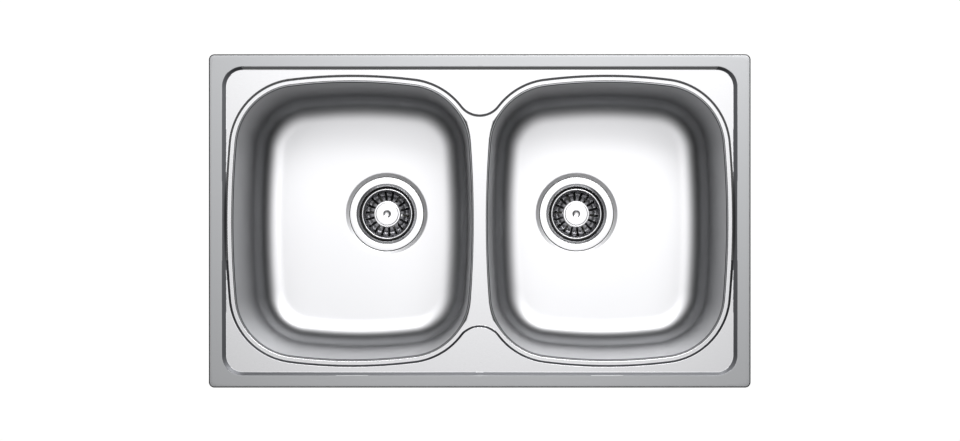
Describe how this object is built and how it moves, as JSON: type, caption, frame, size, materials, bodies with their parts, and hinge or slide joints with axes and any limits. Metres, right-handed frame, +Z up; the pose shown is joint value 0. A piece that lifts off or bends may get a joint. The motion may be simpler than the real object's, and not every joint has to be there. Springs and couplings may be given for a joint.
{
  "type": "double bowl kitchen sink",
  "caption": "Inset stainless steel kitchen sink with two equal deep bowls in a sunk well, a flat rim, lift-out basket strainers and clips that clamp it to a worktop.",
  "frame": {"origin": "middle of the sink, on the worktop plane that the rim's seal rests on", "axes": "+X along the worktop to the right, +Y towards the wall, +Z up"},
  "size_m": [0.78, 0.48, 0.2558],
  "materials": {
    "pressed_steel": "satin stainless steel",
    "drawn_steel": "satin stainless steel",
    "strainer_steel": "polished stainless steel",
    "galvanised_steel": "zinc-coated",
    "knob_chrome": "polished",
    "seal_foam": "matt closed-cell foam",
    "seal_rubber": "matt",
    "damping_sheet": "matt bitumen",
    "waste_plastic": "matt white polypropylene",
    "nut_brass": "turned"
  },
  "bodies": {
    "sink": {"sink_top": "pressed_steel", "left_bowl": "drawn_steel", "right_bowl": "drawn_steel", "rim_seal": "seal_foam", "front_rail": "galvanised_steel", "back_rail": "galvanised_steel", "left_rail": "galvanised_steel", "right_rail": "galvanised_steel", "left_damping_pad": "damping_sheet", "right_damping_pad": "damping_sheet", "clip_brackets": "galvanised_steel", "left_flange_seal": "seal_rubber", "left_strainer_body": "strainer_steel", "left_body_seal": "seal_rubber", "left_waste_body": "waste_plastic", "left_outlet_tail": "waste_plastic", "right_flange_seal": "seal_rubber", "right_strainer_body": "strainer_steel", "right_body_seal": "seal_rubber", "right_waste_body": "waste_plastic", "right_outlet_tail": "waste_plastic", "clamp_screws": "strainer_steel", "clamp_nuts": "nut_brass"},
    "front_left_clip_washer": {"front_left_washer": "galvanised_steel"},
    "front_left_clip_screw": {"front_left_screw": "galvanised_steel"},
    "front_left_clip_claw": {"front_left_claw": "galvanised_steel"},
    "front_right_clip_washer": {"front_right_washer": "galvanised_steel"},
    "front_right_clip_screw": {"front_right_screw": "galvanised_steel"},
    "front_right_clip_claw": {"front_right_claw": "galvanised_steel"},
    "right_clip_washer": {"right_washer": "galvanised_steel"},
    "right_clip_screw": {"right_screw": "galvanised_steel"},
    "right_clip_claw": {"right_claw": "galvanised_steel"},
    "back_right_clip_washer": {"back_right_washer": "galvanised_steel"},
    "back_right_clip_screw": {"back_right_screw": "galvanised_steel"},
    "back_right_clip_claw": {"back_right_claw": "galvanised_steel"},
    "back_left_clip_washer": {"back_left_washer": "galvanised_steel"},
    "back_left_clip_screw": {"back_left_screw": "galvanised_steel"},
    "back_left_clip_claw": {"back_left_claw": "galvanised_steel"},
    "left_clip_washer": {"left_washer": "galvanised_steel"},
    "left_clip_screw": {"left_screw": "galvanised_steel"},
    "left_clip_claw": {"left_claw": "galvanised_steel"},
    "left_lift": {"left_stem_ring": "seal_rubber"},
    "left_basket_set": {"left_basket": "strainer_steel", "left_basket_seal": "seal_rubber", "left_knob": "knob_chrome", "left_stem": "strainer_steel", "left_stem_nut": "nut_brass"},
    "right_lift": {"right_stem_ring": "seal_rubber"},
    "right_basket_set": {"right_basket": "strainer_steel", "right_basket_seal": "seal_rubber", "right_knob": "knob_chrome", "right_stem": "strainer_steel", "right_stem_nut": "nut_brass"}
  },
  "joints": [
    {"name": "front_left_clip_rise", "type": "slide", "parent": "sink", "child": "front_left_clip_washer", "axis": [0, 0, 1], "range_m": [0, 0.012]},
    {"name": "front_left_clip_turn", "type": "hinge", "parent": "front_left_clip_washer", "child": "front_left_clip_screw", "pos_m": [-0.23, -0.214, -0.045], "axis": [0, 0, 1], "range_deg": [0, 5401]},
    {"name": "front_left_clip_swing", "type": "hinge", "parent": "front_left_clip_washer", "child": "front_left_clip_claw", "pos_m": [-0.23, -0.214, -0.045], "axis": [0, 0, -1], "range_deg": [0, 90]},
    {"name": "front_right_clip_rise", "type": "slide", "parent": "sink", "child": "front_right_clip_washer", "axis": [0, 0, 1], "range_m": [0, 0.012]},
    {"name": "front_right_clip_turn", "type": "hinge", "parent": "front_right_clip_washer", "child": "front_right_clip_screw", "pos_m": [0.23, -0.214, -0.045], "axis": [0, 0, 1], "range_deg": [0, 5401]},
    {"name": "front_right_clip_swing", "type": "hinge", "parent": "front_right_clip_washer", "child": "front_right_clip_claw", "pos_m": [0.23, -0.214, -0.045], "axis": [0, 0, -1], "range_deg": [0, 90]},
    {"name": "right_clip_rise", "type": "slide", "parent": "sink", "child": "right_clip_washer", "axis": [0, 0, 1], "range_m": [0, 0.012]},
    {"name": "right_clip_turn", "type": "hinge", "parent": "right_clip_washer", "child": "right_clip_screw", "pos_m": [0.362, 0, -0.045], "axis": [0, 0, 1], "range_deg": [0, 5401]},
    {"name": "right_clip_swing", "type": "hinge", "parent": "right_clip_washer", "child": "right_clip_claw", "pos_m": [0.362, 0, -0.045], "axis": [0, 0, -1], "range_deg": [0, 90]},
    {"name": "back_right_clip_rise", "type": "slide", "parent": "sink", "child": "back_right_clip_washer", "axis": [0, 0, 1], "range_m": [0, 0.012]},
    {"name": "back_right_clip_turn", "type": "hinge", "parent": "back_right_clip_washer", "child": "back_right_clip_screw", "pos_m": [0.23, 0.214, -0.045], "axis": [0, 0, 1], "range_deg": [0, 5401]},
    {"name": "back_right_clip_swing", "type": "hinge", "parent": "back_right_clip_washer", "child": "back_right_clip_claw", "pos_m": [0.23, 0.214, -0.045], "axis": [0, 0, -1], "range_deg": [0, 90]},
    {"name": "back_left_clip_rise", "type": "slide", "parent": "sink", "child": "back_left_clip_washer", "axis": [0, 0, 1], "range_m": [0, 0.012]},
    {"name": "back_left_clip_turn", "type": "hinge", "parent": "back_left_clip_washer", "child": "back_left_clip_screw", "pos_m": [-0.23, 0.214, -0.045], "axis": [0, 0, 1], "range_deg": [0, 5401]},
    {"name": "back_left_clip_swing", "type": "hinge", "parent": "back_left_clip_washer", "child": "back_left_clip_claw", "pos_m": [-0.23, 0.214, -0.045], "axis": [0, 0, -1], "range_deg": [0, 90]},
    {"name": "left_clip_rise", "type": "slide", "parent": "sink", "child": "left_clip_washer", "axis": [0, 0, 1], "range_m": [0, 0.012]},
    {"name": "left_clip_turn", "type": "hinge", "parent": "left_clip_washer", "child": "left_clip_screw", "pos_m": [-0.362, 0, -0.045], "axis": [0, 0, 1], "range_deg": [0, 5401]},
    {"name": "left_clip_swing", "type": "hinge", "parent": "left_clip_washer", "child": "left_clip_claw", "pos_m": [-0.362, 0, -0.045], "axis": [0, 0, -1], "range_deg": [0, 90]},
    {"name": "left_basket_lift", "type": "slide", "parent": "sink", "child": "left_lift", "axis": [0, 0, 1], "range_m": [0, 0.22]},
    {"name": "left_basket_spin", "type": "hinge", "parent": "left_lift", "child": "left_basket_set", "pos_m": [-0.1466, 0.0108, -0.165], "axis": [0, 0, 1], "continuous": true},
    {"name": "right_basket_lift", "type": "slide", "parent": "sink", "child": "right_lift", "axis": [0, 0, 1], "range_m": [0, 0.22]},
    {"name": "right_basket_spin", "type": "hinge", "parent": "right_lift", "child": "right_basket_set", "pos_m": [0.1466, 0.0108, -0.165], "axis": [0, 0, 1], "continuous": true}
  ],
  "couplings": [
    {"joint": "front_left_clip_turn", "follows": "front_left_clip_rise", "rad_per_m": 7854},
    {"joint": "front_right_clip_turn", "follows": "front_right_clip_rise", "rad_per_m": 7854},
    {"joint": "right_clip_turn", "follows": "right_clip_rise", "rad_per_m": 7854},
    {"joint": "back_right_clip_turn", "follows": "back_right_clip_rise", "rad_per_m": 7854},
    {"joint": "back_left_clip_turn", "follows": "back_left_clip_rise", "rad_per_m": 7854},
    {"joint": "left_clip_turn", "follows": "left_clip_rise", "rad_per_m": 7854}
  ]
}
